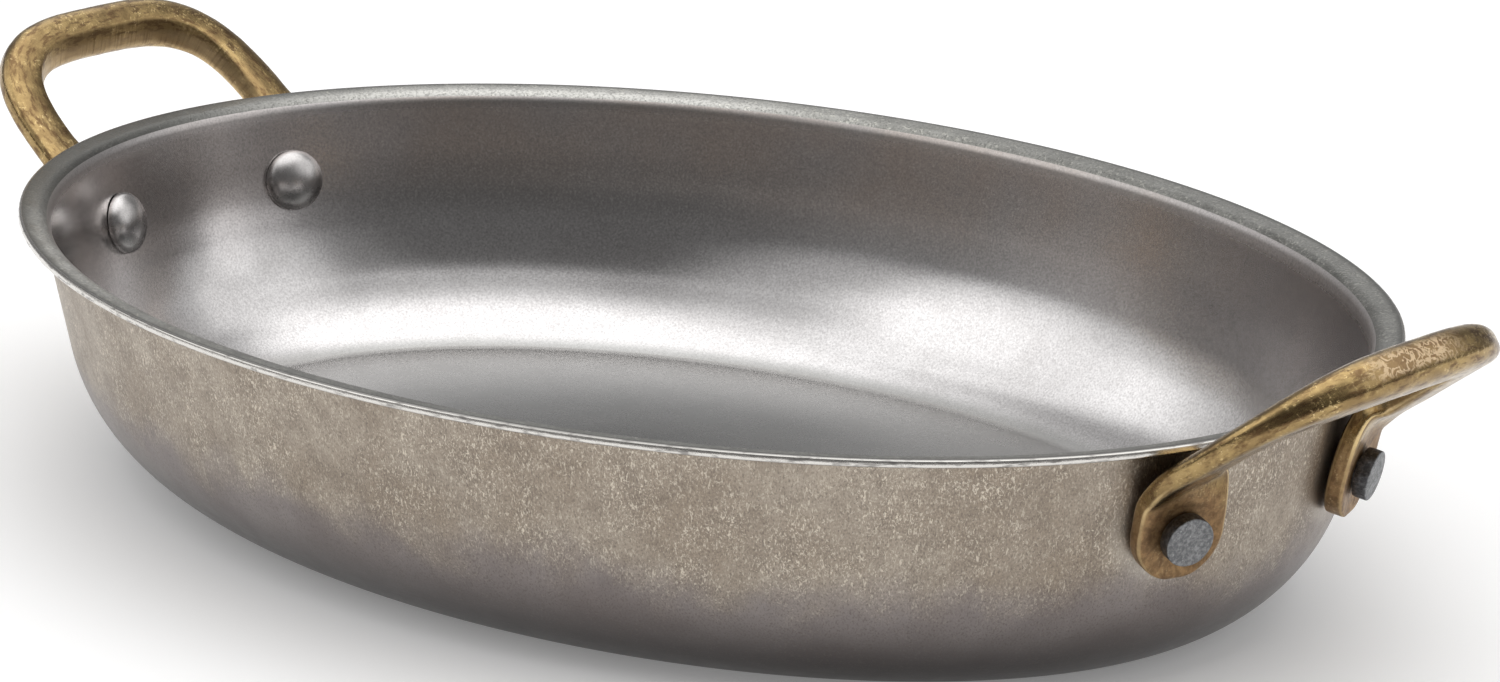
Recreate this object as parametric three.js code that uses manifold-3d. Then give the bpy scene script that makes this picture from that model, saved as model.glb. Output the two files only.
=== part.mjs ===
// Oval serving dish: a pressed steel bowl with a flared rim, and two cast brass loop handles,
// each held by two rivets. Millimetres, +Z up, X along the dish.
// The origin is the centre of the flat base, on the surface that the dish stands on.

import * as THREE from 'three';
import { mergeVertices } from 'three/addons/utils/BufferGeometryUtils.js';
import Module from 'manifold-3d';

// Bowl: one sheet of steel. Bend radii are at the middle of the sheet, angles in degrees.
const RIM_LENGTH = 200; // outside of the rim, along X
const RIM_WIDTH = 145.8; // outside of the rim, along Y
const DISH_DEPTH = 34.2; // underside of the base to the top of the rim
const SHEET = 1;
const LIP_FLAT = 2.8; // straight part of the flared rim
const LIP_SLOPE = 7; // rise of the rim towards its edge
const LIP_RADIUS = 0.9; // bend between wall and rim
const WALL_DRAFT = 12; // lean of the wall from upright
const CORNER_RADIUS = 22.4; // round corner under the wall
const CREASE_SLOPE = 24; // slope at which the round corner ends
const CREASE_RADIUS = 3.5; // small bend from the round corner into the flat base

// Rivets: a domed head inside the bowl, a flat head outside the lug.
const RIVET_SPREAD = 32.4; // between the two rivets of one handle, along Y
const RIVET_DROP = 11.3; // top of the rim down to the rivets
const SHANK_DIAMETER = 4.6;
const DOME_DIAMETER = 8.4;
const DOME_HEIGHT = 2.3;
const HEAD_DIAMETER = 6.4;
const HEAD_HEIGHT = 1.6;
const HEAD_CHAMFER = 0.3;

// Handles: a flat round-ended lug on each rivet, a leg that bends out under the rim, a raised loop.
const LUG_RADIUS = 6;
const LUG_THICKNESS = 2.7;
const BEND_RADIUS = 3; // from the lug into the leg, at mid thickness
const LOOP_TILT = 36.5; // rise of the loop, degrees
const LOOP_DEPTH = 22.8; // bend to the middle of the grip, along the slope
const LOOP_SPAN = 39.1; // between the middles of the two legs
const LOOP_SQUARENESS = 3.45; // 2 would make the loop half an ellipse
const LEG_WIDTH = 7;
const LEG_THICKNESS = 3.4;
const GRIP_WIDTH = 6.8;
const GRIP_THICKNESS = 5.8;
const GRIP_SWELL = 3; // power by which the thickness grows out along the loop
const PLATE_SQUARENESS = 5; // section of the lug, nearly a flat plate
const BAR_SQUARENESS = 2.6; // section of the loop, a full rounded bar

// Clearances
const SEAT_GAP = 0.3; // between faces that rest on each other
const HOLE_CLEARANCE = 0.3; // around a shank, on the radius
const LIP_GAP = 0.3; // between the top of a leg and the edge of the rim

// Facets
const OVAL_STEPS = 80;
const LIP_STEPS = 4;
const CORNER_STEPS = 8;
const CREASE_STEPS = 2;
const SECTION_STEPS = 16;
const LUG_ANGLES = [16, 36, 56, 74, 90];
const BEND_STEPS = 6;
const LOOP_STEPS = 11;
const LOOP_START = 10; // angle round the loop where the leg takes over, degrees
const RIVET_STEPS = 24;
const DOME_STEPS = 6;

const { degToRad, lerp, smoothstep } = THREE.MathUtils;
const UP = new THREE.Vector3(0, 0, 1);
const HALF_LENGTH = RIM_LENGTH / 2;
const HALF_WIDTH = RIM_WIDTH / 2;

const wasm = await Module();
wasm.setup();

// Bare closed mesh: positions only, shared corners merged, empty triangles left out.
function closedMesh(geometry) {
  geometry.deleteAttribute('normal');
  geometry.deleteAttribute('uv');
  const merged = mergeVertices(geometry, 1e-4);
  const kept = [];
  const corners = merged.index.array;
  for (let i = 0; i < corners.length; i += 3) {
    const [a, b, c] = corners.slice(i, i + 3);
    if (a !== b && b !== c && c !== a) kept.push(a, b, c);
  }
  merged.setIndex(kept);
  return merged;
}

function toSolid(geometry) {
  const mesh = closedMesh(geometry);
  return new wasm.Manifold(new wasm.Mesh({
    numProp: 3,
    vertProperties: new Float32Array(mesh.attributes.position.array),
    triVerts: new Uint32Array(mesh.index.array),
  }));
}

function toGeometry(solid) {
  const mesh = solid.getMesh();
  const geometry = new THREE.BufferGeometry();
  geometry.setAttribute('position', new THREE.BufferAttribute(mesh.vertProperties, 3));
  geometry.setIndex(new THREE.BufferAttribute(mesh.triVerts, 1));
  return geometry;
}

// Closed skin over a row of rings with the same number of points, capped at both ends.
function skin(rings) {
  const count = rings[0].length;
  const points = rings.flat();
  const first = points.length;
  for (const ring of [rings[0], rings.at(-1)]) {
    const middle = new THREE.Vector3();
    ring.forEach((point) => middle.add(point));
    points.push(middle.divideScalar(count));
  }
  const index = [];
  for (let j = 0; j < count; j += 1) {
    const next = (j + 1) % count;
    for (let i = 0; i + 1 < rings.length; i += 1) {
      const low = i * count;
      const high = low + count;
      index.push(low + j, low + next, high + next, low + j, high + next, high + j);
    }
    const last = (rings.length - 1) * count;
    index.push(first, next, j, first + 1, last + j, last + next);
  }
  const geometry = new THREE.BufferGeometry().setFromPoints(points);
  geometry.setIndex(index);
  return geometry;
}

// Middle of the sheet from the rim's edge in to the flat base, as [offset, height, slope].
// An offset is measured inward from the rim's edge, and a slope downward from level, in radians.
function sheetLine() {
  const lip = degToRad(LIP_SLOPE);
  const wall = degToRad(90 - WALL_DRAFT);
  const crease = degToRad(CREASE_SLOPE);
  const half = SHEET / 2;
  const line = [];
  let offset = half * Math.sin(lip);
  let height = DISH_DEPTH - half * Math.cos(lip);
  const mark = (slope) => line.push([offset, height, slope]);
  const run = (length, slope) => {
    offset += length * Math.cos(slope);
    height -= length * Math.sin(slope);
    mark(slope);
  };
  // The bend's side is 1 where the sheet turns down and -1 where it levels out again.
  const bend = (radius, from, to, steps, side) => {
    const startOffset = offset;
    const startHeight = height;
    for (let k = 1; k <= steps; k += 1) {
      const slope = lerp(from, to, k / steps);
      offset = startOffset + side * radius * (Math.sin(slope) - Math.sin(from));
      height = startHeight + side * radius * (Math.cos(slope) - Math.cos(from));
      mark(slope);
    }
  };
  const cornerDrop = CORNER_RADIUS * (Math.cos(crease) - Math.cos(wall))
    + CREASE_RADIUS * (1 - Math.cos(crease));

  mark(lip);
  run(LIP_FLAT, lip);
  bend(LIP_RADIUS, lip, wall, LIP_STEPS, 1);
  const wallStart = [offset, height];
  run((height - half - cornerDrop) / Math.sin(wall), wall);
  bend(CORNER_RADIUS, wall, crease, CORNER_STEPS, -1);
  bend(CREASE_RADIUS, crease, 0, CREASE_STEPS, -1);
  return { line, wallStart };
}

const { line: SHEET_LINE, wallStart: WALL_START } = sheetLine();

function ovalRing(offset, height) {
  return Array.from({ length: OVAL_STEPS }, (_, k) => {
    const angle = (2 * Math.PI * k) / OVAL_STEPS;
    return new THREE.Vector3(
      (HALF_LENGTH - offset) * Math.cos(angle),
      (HALF_WIDTH - offset) * Math.sin(angle),
      height,
    );
  });
}

// Ring on one face of the sheet: face 1 is the inside of the bowl, -1 the outside.
function sheetRing([offset, height, slope], face) {
  const step = (face * SHEET) / 2;
  return ovalRing(offset + step * Math.sin(slope), height + step * Math.cos(slope));
}

// Place of a rivet on the outside of the wall: the point, the outward normal, the way up the wall,
// and the wall's radius of curvature in plan.
function rivetSeat(sideX, sideY) {
  const lean = Math.tan(degToRad(WALL_DRAFT));
  const z = DISH_DEPTH - RIVET_DROP;
  const [startOffset, startHeight] = WALL_START;
  const face = SHEET / 2 / Math.cos(degToRad(WALL_DRAFT));
  const offset = startOffset + (startHeight - z) * lean - face;
  const a = HALF_LENGTH - offset;
  const b = HALF_WIDTH - offset;
  const y = sideY * RIVET_SPREAD / 2;
  const x = sideX * a * Math.sqrt(1 - (y / b) ** 2);
  const spread = x ** 2 / a ** 3 + y ** 2 / b ** 3;
  const normal = new THREE.Vector3(x / a ** 2, y / b ** 2, -lean * spread).normalize();
  const across = new THREE.Vector3().crossVectors(UP, normal).normalize();
  return {
    point: new THREE.Vector3(x, y, z),
    normal,
    climb: new THREE.Vector3().crossVectors(normal, across),
    curve: a ** 2 * b ** 2 * Math.hypot(x / a ** 2, y / b ** 2) ** 3,
  };
}

const SIDES = [1, -1];
const SEATS = SIDES.flatMap((sideX) => SIDES.map((sideY) => rivetSeat(sideX, sideY)));

// Round cutter along a rivet's axis, long enough to pass through sheet and lug.
function holeCutter({ point, normal }) {
  const radius = SHANK_DIAMETER / 2 + HOLE_CLEARANCE;
  const length = 4 * (SHEET + LUG_THICKNESS);
  const geometry = new THREE.CylinderGeometry(radius, radius, length, RIVET_STEPS);
  geometry.rotateX(Math.PI / 2);
  geometry.applyQuaternion(new THREE.Quaternion().setFromUnitVectors(UP, normal));
  geometry.translate(point.x, point.y, point.z);
  return toSolid(geometry);
}

function bowlGeometry() {
  const outside = SHEET_LINE.map((mark) => sheetRing(mark, -1)).reverse();
  const inside = SHEET_LINE.map((mark) => sheetRing(mark, 1));
  let bowl = toSolid(skin([...outside, ...inside]));
  for (const seat of SEATS) bowl = bowl.subtract(holeCutter(seat));
  return toGeometry(bowl);
}

// Rivet along +Z, with z = 0 on the outside of the wall.
function rivetGeometry({ curve }) {
  const shank = SHANK_DIAMETER / 2;
  const dome = DOME_DIAMETER / 2;
  const head = HEAD_DIAMETER / 2;
  const hollow = dome ** 2 / (2 * curve); // rise of the hollow wall under the flat side of the dome
  const domeBase = -SHEET - SEAT_GAP - hollow;
  const headBase = SEAT_GAP + LUG_THICKNESS + SEAT_GAP;
  const headTop = headBase + HEAD_HEIGHT;
  const profile = [];
  for (let k = 0; k <= DOME_STEPS; k += 1) {
    const angle = (Math.PI / 2) * (k / DOME_STEPS);
    profile.push([dome * Math.sin(angle), domeBase - DOME_HEIGHT * Math.cos(angle)]);
  }
  profile.push([shank, domeBase], [shank, headBase], [head, headBase]);
  profile.push([head, headTop - HEAD_CHAMFER], [head - HEAD_CHAMFER, headTop], [0, headTop]);
  const points = profile.map(([radius, height]) => new THREE.Vector2(radius, height));
  const geometry = new THREE.LatheGeometry(points, RIVET_STEPS);
  geometry.rotateX(Math.PI / 2);
  return closedMesh(geometry);
}

// Half of a handle's loop, from the root of its leg (u = 0) to the middle of the grip (u = 1).
class LoopCurve extends THREE.Curve {
  constructor(root) {
    super();
    this.root = root;
    this.slope = new THREE.Vector3(Math.cos(degToRad(LOOP_TILT)), 0, Math.sin(degToRad(LOOP_TILT)));
  }

  // Distance out along the slope, as a share of the loop's depth.
  reach(u) {
    return this.shares(u)[0];
  }

  shares(u) {
    const angle = lerp(degToRad(LOOP_START), Math.PI / 2, u);
    const out = Math.sin(angle);
    const across = Math.cos(angle);
    const size = (out ** LOOP_SQUARENESS + across ** LOOP_SQUARENESS) ** (-1 / LOOP_SQUARENESS);
    return [out * size, across * size];
  }

  getPoint(u, target = new THREE.Vector3()) {
    const [out, across] = this.shares(u);
    target.copy(this.root).addScaledVector(this.slope, LOOP_DEPTH * out);
    target.y = this.root.y * across;
    return target;
  }
}

// How far above the rivet the lug ends, so that the leg's upper face clears the rim's edge by LIP_GAP.
// Worked out in the upright plane through the rivet, square to the wall.
function lugRise(seat, away, middle) {
  const flat = (vector) => new THREE.Vector2(vector.dot(away), vector.z);
  const { x, y } = seat.point;
  const a = (away.x / HALF_LENGTH) ** 2 + (away.y / HALF_WIDTH) ** 2;
  const b = (x * away.x) / HALF_LENGTH ** 2 + (y * away.y) / HALF_WIDTH ** 2;
  const c = (x / HALF_LENGTH) ** 2 + (y / HALF_WIDTH) ** 2 - 1;
  const toRim = (Math.sqrt(b * b - a * c) - b) / a;
  const rimEdge = new THREE.Vector2(toRim, RIVET_DROP - SHEET);
  const tilt = degToRad(LOOP_TILT);
  const upper = new THREE.Vector2(-Math.sin(tilt), Math.cos(tilt));
  const fromCentre = rimEdge.addScaledVector(flat(seat.normal), -(middle + BEND_RADIUS));
  const clear = BEND_RADIUS + LEG_THICKNESS / 2 + LIP_GAP;
  return (fromCentre.dot(upper) - clear) / flat(seat.climb).dot(upper);
}

// Section of a handle: rounded, with its width along the first axis and thickness along the second.
function sectionRing({ centre, along, outward, width, thickness, squareness }) {
  const second = outward.clone().addScaledVector(along, -outward.dot(along)).normalize();
  const first = new THREE.Vector3().crossVectors(second, along);
  const rounded = (value) => Math.sign(value) * Math.abs(value) ** (2 / squareness);
  return Array.from({ length: SECTION_STEPS }, (_, k) => {
    const angle = (2 * Math.PI * k) / SECTION_STEPS;
    return centre.clone()
      .addScaledVector(first, (width / 2) * rounded(Math.cos(angle)))
      .addScaledVector(second, (thickness / 2) * rounded(Math.sin(angle)));
  });
}

// Rings of half a handle at the +X end, from the end of its lug to the middle of the grip.
function halfHandle(sideY) {
  const seat = rivetSeat(1, sideY);
  const { normal, climb } = seat;
  const middle = SEAT_GAP + LUG_THICKNESS / 2;
  const lug = seat.point.clone().addScaledVector(normal, middle);
  const away = new THREE.Vector3(normal.x, normal.y, 0).normalize();
  const tilt = degToRad(LOOP_TILT);
  const under = new THREE.Vector3(Math.sin(tilt), 0, -Math.cos(tilt)); // underside of the loop

  const bendStart = lug.clone().addScaledVector(climb, lugRise(seat, away, middle));
  const root = bendStart.clone().addScaledVector(normal, BEND_RADIUS)
    .addScaledVector(away, -BEND_RADIUS * Math.sin(tilt))
    .addScaledVector(UP, BEND_RADIUS * Math.cos(tilt));
  root.y = sideY * LOOP_SPAN / 2;
  const loop = new LoopCurve(root);
  const bend = new THREE.CubicBezierCurve3(
    bendStart,
    bendStart.clone().addScaledVector(climb, BEND_RADIUS / 2),
    root,
    loop.getPoint(0),
  );

  const plate = { width: 2 * LUG_RADIUS, thickness: LUG_THICKNESS, squareness: PLATE_SQUARENESS };
  const leg = { width: LEG_WIDTH, thickness: LEG_THICKNESS, squareness: BAR_SQUARENESS };
  const grip = { width: GRIP_WIDTH, thickness: GRIP_THICKNESS, squareness: BAR_SQUARENESS };
  const between = (from, to, share, widthShare = share) => ({
    width: lerp(from.width, to.width, widthShare),
    thickness: lerp(from.thickness, to.thickness, share),
    squareness: lerp(from.squareness, to.squareness, share),
  });

  const rings = [];
  for (const angle of LUG_ANGLES.map(degToRad)) {
    const centre = lug.clone().addScaledVector(climb, -LUG_RADIUS * Math.cos(angle));
    const size = { ...plate, width: plate.width * Math.sin(angle) };
    rings.push(sectionRing({ centre, along: climb, outward: normal, ...size }));
  }
  const rise = bendStart.distanceTo(lug);
  const length = rise + bend.getLength();
  for (let k = 0; k < BEND_STEPS; k += 1) {
    const u = k / BEND_STEPS;
    const narrowing = smoothstep(rise + u * bend.getLength(), 0, length);
    rings.push(sectionRing({
      centre: bend.getPointAt(u),
      along: bend.getTangentAt(u),
      outward: normal.clone().lerp(under, u),
      ...between(plate, leg, u, narrowing),
    }));
  }
  for (let k = 0; k <= LOOP_STEPS; k += 1) {
    const u = k / LOOP_STEPS;
    const along = k < LOOP_STEPS ? loop.getTangent(u) : new THREE.Vector3(0, -sideY, 0);
    const share = (loop.reach(u) - loop.reach(0)) / (1 - loop.reach(0));
    const size = between(leg, grip, share ** GRIP_SWELL, share);
    rings.push(sectionRing({ centre: loop.getPoint(u), along, outward: under, ...size }));
  }
  return rings;
}

function handleGeometry() {
  const near = halfHandle(-1);
  const mirrored = near.slice(0, -1).reverse()
    .map((ring) => ring.map(({ x, y, z }) => new THREE.Vector3(x, -y, z)));
  let handle = toSolid(skin([...near, ...mirrored]));
  for (const sideY of SIDES) handle = handle.subtract(holeCutter(rivetSeat(1, sideY)));
  return toGeometry(handle);
}

function piece(name, geometry, color, roughness) {
  const material = new THREE.MeshStandardMaterial({ color, roughness, metalness: 1 });
  const mesh = new THREE.Mesh(geometry, material);
  mesh.name = name;
  return mesh;
}

const dish = new THREE.Group();
dish.add(piece('dish_body', bowlGeometry(), 0x968c80, 0.45));

const END_NAMES = { 1: 'right', [-1]: 'left' };
const SIDE_NAMES = { 1: 'far', [-1]: 'near' };
for (const sideX of SIDES) {
  const handle = piece(`handle_${END_NAMES[sideX]}`, handleGeometry(), 0x8a6a36, 0.4);
  handle.rotation.z = sideX > 0 ? 0 : Math.PI;
  dish.add(handle);
  for (const sideY of SIDES) {
    const seat = rivetSeat(sideX, sideY);
    const name = `rivet_${END_NAMES[sideX]}_${SIDE_NAMES[sideY]}`;
    const rivet = piece(name, rivetGeometry(seat), 0x85868a, 0.35);
    rivet.position.copy(seat.point);
    rivet.quaternion.setFromUnitVectors(UP, seat.normal);
    dish.add(rivet);
  }
}

export default dish;
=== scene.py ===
"""Oval serving dish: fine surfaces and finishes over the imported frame."""

import math

import bpy
import numpy as np
from mathutils import Matrix, Vector, noise


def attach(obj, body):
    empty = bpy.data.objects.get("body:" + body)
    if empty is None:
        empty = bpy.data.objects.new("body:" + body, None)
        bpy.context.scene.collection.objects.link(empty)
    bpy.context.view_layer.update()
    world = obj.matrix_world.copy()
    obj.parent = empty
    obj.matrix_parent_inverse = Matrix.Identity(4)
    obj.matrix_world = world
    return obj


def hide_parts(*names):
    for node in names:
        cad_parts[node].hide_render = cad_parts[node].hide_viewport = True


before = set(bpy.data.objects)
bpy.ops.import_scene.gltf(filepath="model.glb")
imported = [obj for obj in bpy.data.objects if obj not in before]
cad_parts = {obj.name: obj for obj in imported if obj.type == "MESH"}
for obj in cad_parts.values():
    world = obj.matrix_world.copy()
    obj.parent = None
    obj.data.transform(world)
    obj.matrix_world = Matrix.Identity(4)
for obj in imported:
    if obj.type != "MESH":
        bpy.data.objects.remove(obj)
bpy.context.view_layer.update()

MM = 0.001  # metres
UP = Vector((0, 0, 1))
X, Y, Z = range(3)
RIGHT, LEFT = 1, -1
FAR, NEAR = 1, -1

# Sizes that the solids have too, in millimetres.
HALF_LENGTH = 100.0
HALF_WIDTH = 72.9
DISH_DEPTH = 34.2
SHEET = 1.0
LIP_FLAT = 2.8
LIP_SLOPE = math.radians(7)
LIP_RADIUS = 0.9
WALL_DRAFT = math.radians(12)
CORNER_RADIUS = 22.4
CREASE_SLOPE = math.radians(24)
CREASE_RADIUS = 3.5

RIVET_SPREAD = 32.4
RIVET_DROP = 11.3
SHANK_DIAMETER = 4.6
DOME_DIAMETER = 8.4
DOME_HEIGHT = 2.3
HEAD_DIAMETER = 6.4
HEAD_HEIGHT = 1.6

LUG_RADIUS = 6.0
LUG_THICKNESS = 2.7
BEND_RADIUS = 3.0
LOOP_TILT = math.radians(36.5)
LOOP_DEPTH = 22.8
LOOP_SPAN = 39.1
LOOP_SQUARENESS = 3.45
LOOP_START = math.radians(10)
LEG_WIDTH = 7.0
LEG_THICKNESS = 3.4
GRIP_WIDTH = 6.8
GRIP_THICKNESS = 5.8
GRIP_SWELL = 3.0
PLATE_SQUARENESS = 5.0
BAR_SQUARENESS = 2.6

SEAT_GAP = 0.3
LIP_GAP = 0.3

# Bowl, finer than the solid: a softer bend inside the lip, a rounded edge, and a fuller corner.
SOFT_LIP_FLAT = 2.301
SOFT_LIP_RADIUS = 1.6
EDGE_RADIUS = 0.36
CORNER_FULL = 0.5  # all round
END_FULL = 0.25  # added at the two ends
SIDE_FULL = 0.35  # added at the two long sides
FULL_POWER = 4  # how closely the last two keep to the ends and sides
CORNER_HEIGHTS = (21.5, 12)  # where each fullness starts and is complete, going down
END_HEIGHTS = (25, 14)
SIDE_HEIGHTS = (30, 19)
FLOOR_HEIGHTS = (2, 9)  # where all of it starts and is complete, going up

# Rivets, finer than the solids: eased heads that fill most of the gap under them, a little uneven.
SEAT_SHARE = 0.8
DOME_EASE = 0.05
HEAD_EASE = 0.12
HEAD_EASE_RISE = 0.1
HEAD_ROUND = 0.2
HEAD_SHARES = (0.75, 0.55, 0.35, 0.15)
FACE_DENT, FACE_DENT_PITCH = 0.05, 0.9
SIDE_DENT, SIDE_DENT_PITCH = 0.1, 0.5
SHARP_ANGLE = math.radians(50)

# Handles, finer than the solids: squarer lugs with a shallow hollow, and small dents.
FACE_SQUARENESS = 9.0
LEG_SQUARENESS = 3.6
LUG_EDGE = 0.7
LUG_EDGE_SHARE = 0.8
LUG_TIP = math.radians(4)
LUG_SWEEP = math.radians(86)
LUG_DISH = 0.3
LUG_DISH_EDGE = (5.7, 3.2)  # distances from the rivet over which the hollow deepens
LUG_DISH_SKIN = (0.6, 0.1)  # depths under the face over which it sets in
SHOULDER_FADE = (0.5, 1)  # share of the climb over which the lug narrows to the leg
DENTS = ((0.08, 0.28), (0.05, 0.75))  # depth, and pitch per millimetre
WEAR_START, WEAR_SPAN = 0.5, 1.1  # curvature per millimetre at which edges wear

# Shares of the bend, and of the half loop after it, over which the section changes.
BEND_SQUARE_FADE = (0, 0.8)
BEND_FILED_FADE = (0.5, 1.0)
LOOP_SQUARE_FADE = (0.25, 0.9)
LOOP_FILED_FADE = (0, 0.35)
LOOP_PITTED_FADE = (0.6, 0.8)

# Filed inner face of the bar: angle round the section, share of the full reach, softness.
FILED_ANGLE = math.radians(207)
FILED_SHARE = 0.80
FILED_SOFT = 0.34
FILED_FADE = (-0.55, -0.15)
FILED_AT_LEG = 0.6  # how far the face is filed where the leg starts, 1 being fully

# Pitted strip along the outer side of the grip, in shares of the section.
PITTED_ACROSS = (0.26, 0.42)
PITTED_THROUGH = (0.34, 0.16)
PITTED_SHIFT = 0.08
PITTED_FADE = (16, 2)  # rows past the middle of the grip over which the strip ends

# How finely the surfaces are stepped.
OVAL_STEPS = 256
EDGE_STEPS = 6
LIP_STEPS = 8
LIP_BEND_STEPS = 10
WALL_STEPS = 16
CORNER_STEPS = 36
CREASE_STEPS = 8
FLOOR_SHARES = (0.12, 0.3, 0.5, 0.7, 0.86)
PITTED_RINGS = 14  # rings with the finish of the lip, to just past the middle of its bend
RIVET_STEPS = 64
DOME_STEPS = 24
ROUND_STEPS = 6
SIDE_BANDS = 6
LUG_ROWS = 30
SHOULDER_ROWS = 12
BEND_ROWS = 36
BEND_SAMPLES = 200
LOOP_ROWS = 60
DISHED_ROWS = LUG_ROWS + SHOULDER_ROWS + 30
SECTION_STEPS = 120
FINE_STEPS = 480
NUDGE = 0.002  # step along a curve that gives its direction
EASE_PASSES = 100
EASE_ROWS = SHOULDER_ROWS + 40
EASE_START, EASE_END = 8, 12  # rows over which the easing sets in and ends


def lerp(a, b, t):
    return a + (b - a) * t


def smoothstep(x, low, high):
    t = min(1.0, max(0.0, (x - low) / (high - low)))
    return t * t * (3 - 2 * t)


def uneven(place, pitch):
    """Smooth noise from 0 to 1 at a place in millimetres."""
    return 0.5 + 0.5 * noise.noise(place * pitch)


def mesh_piece(name, points, faces, materials, indices=None):
    """A smooth mesh object from points in millimetres."""
    mesh = bpy.data.meshes.new(name)
    mesh.from_pydata([Vector(p) * MM for p in points], [], faces)
    for material in materials:
        mesh.materials.append(material)
    mesh.polygons.foreach_set("use_smooth", [True] * len(mesh.polygons))
    if indices:
        mesh.polygons.foreach_set("material_index", indices)
    mesh.update()
    piece = bpy.data.objects.new(name, mesh)
    bpy.context.scene.collection.objects.link(piece)
    return piece


def skin(rings):
    """Points and faces of a closed skin over rings of equal length, with a fan at each end."""
    count = len(rings[0])
    points = [p for ring in rings for p in ring]
    faces = []
    for i in range(len(rings) - 1):
        low, high = i * count, (i + 1) * count
        for j in range(count):
            k = (j + 1) % count
            faces.append((low + j, low + k, high + k, high + j))
    for ring, base, turn in ((rings[0], 0, -1), (rings[-1], (len(rings) - 1) * count, 1)):
        middle = len(points)
        points.append(sum(ring, Vector()) / count)
        for j in range(count):
            face = (middle, base + j, base + (j + 1) % count)
            faces.append(face[::turn])
    return points, faces


# Bowl

def sheet_line(lip_flat, lip_radius):
    """Middle of the sheet from the rim's edge to the flat base, and where the wall starts.

    Each mark on the line is an offset from the rim, a height and a slope.
    """
    wall = math.pi / 2 - WALL_DRAFT
    half = SHEET / 2
    state = {
        "offset": half * math.sin(LIP_SLOPE),
        "height": DISH_DEPTH - half * math.cos(LIP_SLOPE),
    }
    line = []

    def run(length, slope, steps):
        for _ in range(steps):
            state["offset"] += length / steps * math.cos(slope)
            state["height"] -= length / steps * math.sin(slope)
            line.append((state["offset"], state["height"], slope))

    def bend(radius, start, end, steps, side):
        offset, height = state["offset"], state["height"]
        for k in range(1, steps + 1):
            slope = lerp(start, end, k / steps)
            state["offset"] = offset + side * radius * (math.sin(slope) - math.sin(start))
            state["height"] = height + side * radius * (math.cos(slope) - math.cos(start))
            line.append((state["offset"], state["height"], slope))

    corner = CORNER_RADIUS * (math.cos(CREASE_SLOPE) - math.cos(wall))
    corner += CREASE_RADIUS * (1 - math.cos(CREASE_SLOPE))
    run(EDGE_RADIUS, LIP_SLOPE, 1)
    run(lip_flat - EDGE_RADIUS, LIP_SLOPE, LIP_STEPS)
    bend(lip_radius, LIP_SLOPE, wall, LIP_BEND_STEPS, 1)
    wall_start = (state["offset"], state["height"])
    run((state["height"] - half - corner) / math.sin(wall), wall, WALL_STEPS)
    bend(CORNER_RADIUS, wall, CREASE_SLOPE, CORNER_STEPS, -1)
    bend(CREASE_RADIUS, CREASE_SLOPE, 0, CREASE_STEPS, -1)
    return line, wall_start


SHEET_LINE, WALL_START = sheet_line(LIP_FLAT, LIP_RADIUS)
INNER_LINE = sheet_line(SOFT_LIP_FLAT, SOFT_LIP_RADIUS)[0]
FLOOR_INSET = SHEET_LINE[-1][0]
TURNS = [2 * math.pi * k / OVAL_STEPS for k in range(OVAL_STEPS)]


def oval_ring(offset, height, share=1.0):
    a, b = (HALF_LENGTH - offset) * share, (HALF_WIDTH - offset) * share
    return [Vector((a * math.cos(t), b * math.sin(t), height)) for t in TURNS]


def outer_ring(mark):
    """The outside of the sheet."""
    offset, height, slope = mark
    step = -SHEET / 2
    return oval_ring(offset + step * math.sin(slope), height + step * math.cos(slope))


def inner_ring(mark):
    """The inside of the sheet, fuller at the corner, more so at the ends and the long sides."""
    offset, height, slope = mark
    z = height + SHEET / 2 * math.cos(slope)
    low = smoothstep(z, *FLOOR_HEIGHTS)
    ring = []
    for turn in TURNS:
        full = CORNER_FULL * smoothstep(z, *CORNER_HEIGHTS)
        full += END_FULL * math.cos(turn) ** FULL_POWER * smoothstep(z, *END_HEIGHTS)
        full += SIDE_FULL * math.sin(turn) ** FULL_POWER * smoothstep(z, *SIDE_HEIGHTS)
        step = SHEET / 2 + full * low
        reach = offset + step * math.sin(slope)
        ring.append(Vector((
            (HALF_LENGTH - reach) * math.cos(turn),
            (HALF_WIDTH - reach) * math.sin(turn),
            height + step * math.cos(slope),
        )))
    return ring


def edge_rings():
    """The rounded edge of the rim, from its underside round to just short of its top."""
    half = SHEET / 2
    flat = half - EDGE_RADIUS
    offset, height = half * math.sin(LIP_SLOPE), DISH_DEPTH - half * math.cos(LIP_SLOPE)
    turns = [math.pi / 2 * k / EDGE_STEPS for k in reversed(range(EDGE_STEPS))]
    marks = [(1 - math.cos(t), -(flat + EDGE_RADIUS * math.sin(t))) for t in turns]
    marks += [(1 - math.sin(t), flat + EDGE_RADIUS * math.cos(t)) for t in turns if t]
    rings = []
    for share, across in marks:
        along = EDGE_RADIUS * share
        rings.append(oval_ring(
            offset + along * math.cos(LIP_SLOPE) + across * math.sin(LIP_SLOPE),
            height - along * math.sin(LIP_SLOPE) + across * math.cos(LIP_SLOPE),
        ))
    return rings


def bowl_piece(materials):
    """The bowl. Its materials are those of the outside, the edge, the lip and the inside."""
    height = SHEET_LINE[-1][1]
    half = SHEET / 2
    outside = [oval_ring(FLOOR_INSET, height - half, share) for share in FLOOR_SHARES]
    outside += [outer_ring(mark) for mark in reversed(SHEET_LINE)]
    edge = edge_rings()
    inside = [inner_ring(mark) for mark in INNER_LINE]
    inside += [oval_ring(FLOOR_INSET, height + half, share) for share in reversed(FLOOR_SHARES)]
    points, faces = skin(outside + edge + inside)
    bands = [0] * (len(outside) - 1) + [1] * (len(edge) + 1)
    bands += [2] * PITTED_RINGS + [3] * (len(inside) - 1 - PITTED_RINGS)
    bands += [0, 3]
    indices = [band for band in bands for _ in range(OVAL_STEPS)]
    return mesh_piece("bowl", points, faces, materials, indices)


# Rivets

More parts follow.
